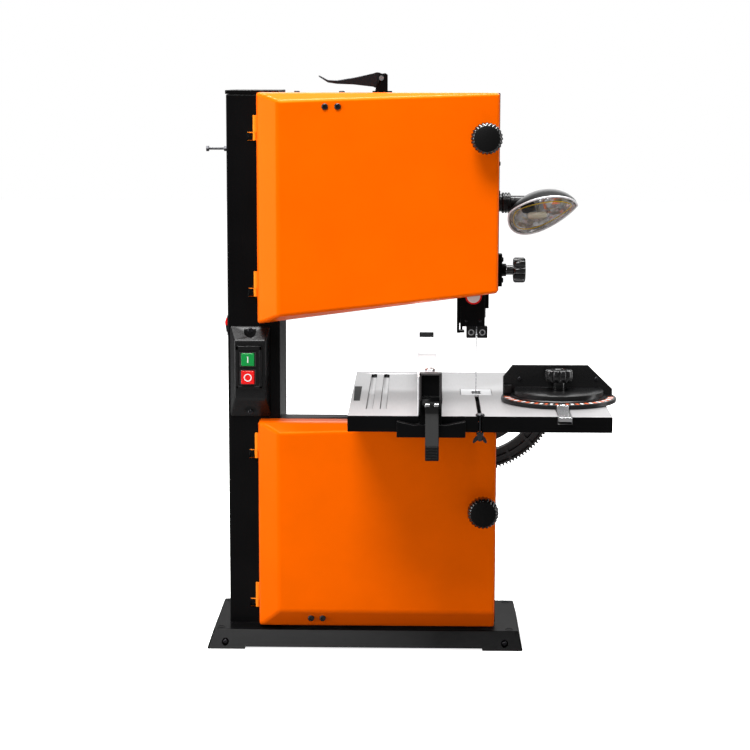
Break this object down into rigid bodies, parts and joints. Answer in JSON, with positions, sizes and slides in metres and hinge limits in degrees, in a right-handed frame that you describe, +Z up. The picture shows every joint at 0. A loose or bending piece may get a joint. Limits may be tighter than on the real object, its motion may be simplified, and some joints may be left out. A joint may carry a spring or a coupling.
{
  "type": "band saw",
  "caption": "Benchtop band saw: welded column between two wheel housings with hinged doors, tilting table, rip fence, miter gauge, blade guide, work lamp and start and stop buttons.",
  "frame": {"origin": "on the floor, under the middle of the whole machine, 83.5 mm left of the blade and 33.1 mm in front of it", "axes": "+Z up, +X to the right along the table, -Y towards the operator"},
  "size_m": [0.505, 0.4189, 0.716],
  "materials": {
    "orange_paint": "glossy powder coat",
    "black_paint": "semi-gloss powder coat",
    "black_plastic": "satin moulded plastic",
    "machined_top": "ground top with black painted sides",
    "table_insert": "brushed",
    "aluminium": "cast and turned",
    "bright_steel": "bright zinc",
    "blade_steel": "bright strip",
    "rubber": "matt",
    "green_plastic": "gloss",
    "red_plastic": "gloss",
    "clear_lens": "clear"
  },
  "bodies": {
    "frame": {"base": "black_paint", "column": "black_paint", "column_cap": "black_paint", "upper_housing": "black_paint", "lower_housing": "black_paint", "lower_axle": "bright_steel", "blade": "blade_steel", "drive_belt": "rubber", "motor": "black_paint", "lever_bracket": "black_paint", "post_lock_flange": "black_paint", "lower_guide": "black_plastic", "arc_support": "black_paint", "switch_box": "black_plastic", "lamp_mount": "black_paint", "storage_bolt": "bright_steel"},
    "upper_door_body": {"upper_door": "orange_paint"},
    "lower_door_body": {"lower_door": "orange_paint"},
    "upper_knob_body": {"upper_door_knob": "black_plastic"},
    "lower_knob_body": {"lower_door_knob": "black_plastic"},
    "lever_body": {"tension_lever": "black_paint"},
    "carrier_body": {"wheel_carrier": "black_paint", "upper_axle": "bright_steel", "tension_spring": "bright_steel"},
    "tracking_body": {"tracking_knob": "black_plastic"},
    "upper_wheel_body": {"upper_wheel": "aluminium", "upper_tyre": "rubber", "upper_bearing": "bright_steel"},
    "lower_wheel_body": {"lower_wheel": "aluminium", "lower_tyre": "rubber", "lower_bearing": "bright_steel", "wheel_pulley": "aluminium"},
    "motor_pulley_body": {"motor_pulley": "aluminium"},
    "guide_body": {"guide_post": "bright_steel", "guide_bracket": "black_paint", "blade_guard": "black_paint", "left_jaw": "black_plastic", "right_jaw": "black_plastic"},
    "thrust_body": {"thrust_bearing": "bright_steel"},
    "post_lock_body": {"post_lock_knob": "black_plastic"},
    "table_body": {"table": "machined_top", "table_insert": "table_insert", "tilt_arc": "black_plastic"},
    "wing_screw_body": {"table_wing_screw": "bright_steel"},
    "pinion_body": {"tilt_pinion": "bright_steel"},
    "tilt_lock_body": {"tilt_lock": "black_plastic"},
    "fence_body": {"fence_bar": "aluminium", "fence_tail": "black_plastic", "fence_head": "black_paint"},
    "fence_lever_body": {"fence_lever": "black_plastic"},
    "miter_bar_body": {"miter_bar": "bright_steel"},
    "miter_head_body": {"miter_head": "black_plastic"},
    "miter_knob_body": {"miter_knob": "black_plastic"},
    "start_body": {"start_button": "green_plastic"},
    "stop_body": {"stop_button": "red_plastic"},
    "rocker_body": {"rocker_switch": "red_plastic"},
    "lamp_body": {"lamp_head": "black_paint", "lamp_lens": "clear_lens"}
  },
  "joints": [
    {"name": "upper_door_hinge", "type": "hinge", "parent": "frame", "child": "upper_door_body", "pos_m": [-0.1908, 0.0201, 0.55], "axis": [0, 0, -1], "range_deg": [0, 100]},
    {"name": "lower_door_hinge", "type": "hinge", "parent": "frame", "child": "lower_door_body", "pos_m": [-0.1908, 0.0201, 0.155], "axis": [0, 0, -1], "range_deg": [0, 100]},
    {"name": "upper_knob_turn", "type": "hinge", "parent": "upper_door_body", "child": "upper_knob_body", "pos_m": [0.0918, -0.0289, 0.6378], "axis": [0, -1, 0], "continuous": true},
    {"name": "lower_knob_turn", "type": "hinge", "parent": "lower_door_body", "child": "lower_knob_body", "pos_m": [0.0918, -0.0289, 0.1804], "axis": [0, -1, 0], "continuous": true},
    {"name": "tension_lever_swing", "type": "hinge", "parent": "frame", "child": "lever_body", "pos_m": [-0.0359, 0.0463, 0.709], "axis": [0, 1, 0], "range_deg": [0, 90]},
    {"name": "carrier_slide", "type": "slide", "parent": "frame", "child": "carrier_body", "axis": [0, 0, 1], "range_m": [-0.0039, 0]},
    {"name": "tracking_turn", "type": "hinge", "parent": "carrier_body", "child": "tracking_body", "pos_m": [-0.0415, 0.0731, 0.581], "axis": [0, 1, 0], "continuous": true},
    {"name": "lower_wheel_spin", "type": "hinge", "parent": "frame", "child": "lower_wheel_body", "pos_m": [-0.0415, 0.0331, 0.158], "axis": [0, 1, 0], "continuous": true},
    {"name": "upper_wheel_spin", "type": "hinge", "parent": "carrier_body", "child": "upper_wheel_body", "pos_m": [-0.0415, 0.0331, 0.561], "axis": [0, 1, 0], "continuous": true},
    {"name": "motor_spin", "type": "hinge", "parent": "frame", "child": "motor_pulley_body", "pos_m": [-0.0915, 0.0481, 0.097], "axis": [0, 1, 0], "continuous": true},
    {"name": "guide_post_slide", "type": "slide", "parent": "frame", "child": "guide_body", "axis": [0, 0, 1], "range_m": [-0.06, 0.02]},
    {"name": "thrust_bearing_spin", "type": "hinge", "parent": "guide_body", "child": "thrust_body", "pos_m": [0.0835, 0.0481, 0.397], "axis": [1, 0, 0], "continuous": true},
    {"name": "post_lock_turn", "type": "hinge", "parent": "frame", "child": "post_lock_body", "pos_m": [0.1335, 0.0486, 0.472], "axis": [1, 0, 0], "continuous": true},
    {"name": "table_tilt", "type": "hinge", "parent": "frame", "child": "table_body", "pos_m": [0.0835, 0.0701, 0.32], "axis": [0, 1, 0], "range_deg": [0, 35]},
    {"name": "pinion_spin", "type": "hinge", "parent": "frame", "child": "pinion_body", "pos_m": [0.06349, 0.0731, 0.2065], "axis": [0, 1, 0], "range_deg": [-415, 5]},
    {"name": "tilt_lock_turn", "type": "hinge", "parent": "frame", "child": "tilt_lock_body", "pos_m": [0.05458, 0.0881, 0.24842], "axis": [0, 1, 0], "range_deg": [0, 60]},
    {"name": "wing_screw_turn", "type": "hinge", "parent": "table_body", "child": "wing_screw_body", "pos_m": [0.0836, -0.149, 0.3], "axis": [0, 0, 1], "continuous": true},
    {"name": "fence_slide", "type": "slide", "parent": "table_body", "child": "fence_body", "axis": [-1, 0, 0], "range_m": [-0.02, 0.045]},
    {"name": "fence_lever_swing", "type": "hinge", "parent": "fence_body", "child": "fence_lever_body", "pos_m": [0.022, -0.1667, 0.3345], "axis": [-1, 0, 0], "range_deg": [0, 50]},
    {"name": "miter_slide", "type": "slide", "parent": "table_body", "child": "miter_bar_body", "axis": [0, 1, 0], "range_m": [-0.1, 0.15]},
    {"name": "miter_swivel", "type": "hinge", "parent": "miter_bar_body", "child": "miter_head_body", "pos_m": [0.1825, -0.0329, 0.325], "axis": [0, 0, 1], "range_deg": [-60, 60]},
    {"name": "miter_knob_turn", "type": "hinge", "parent": "miter_bar_body", "child": "miter_knob_body", "pos_m": [0.1825, -0.0329, 0.345], "axis": [0, 0, 1], "continuous": true},
    {"name": "start_press", "type": "slide", "parent": "frame", "child": "start_body", "axis": [0, 1, 0], "range_m": [0, 0.003], "stiffness_N_per_m": 150},
    {"name": "stop_press", "type": "slide", "parent": "frame", "child": "stop_body", "axis": [0, 1, 0], "range_m": [0, 0.003], "stiffness_N_per_m": 150},
    {"name": "rocker_rock", "type": "hinge", "parent": "frame", "child": "rocker_body", "pos_m": [-0.2279, 0.0406, 0.403], "axis": [0, 1, 0], "range_deg": [0, 8]},
    {"name": "lamp_swivel", "type": "hinge", "parent": "frame", "child": "lamp_body", "pos_m": [0.1375, 0.0451, 0.556], "axis": [1, 0, 0], "range_deg": [-30, 30]}
  ],
  "couplings": [
    {"joint": "tension_lever_swing", "follows": "carrier_slide", "rad_per_m": -402.7},
    {"joint": "upper_wheel_spin", "follows": "lower_wheel_spin", "ratio": 1},
    {"joint": "motor_spin", "follows": "lower_wheel_spin", "ratio": 3},
    {"joint": "pinion_spin", "follows": "table_tilt", "ratio": -11.75}
  ]
}
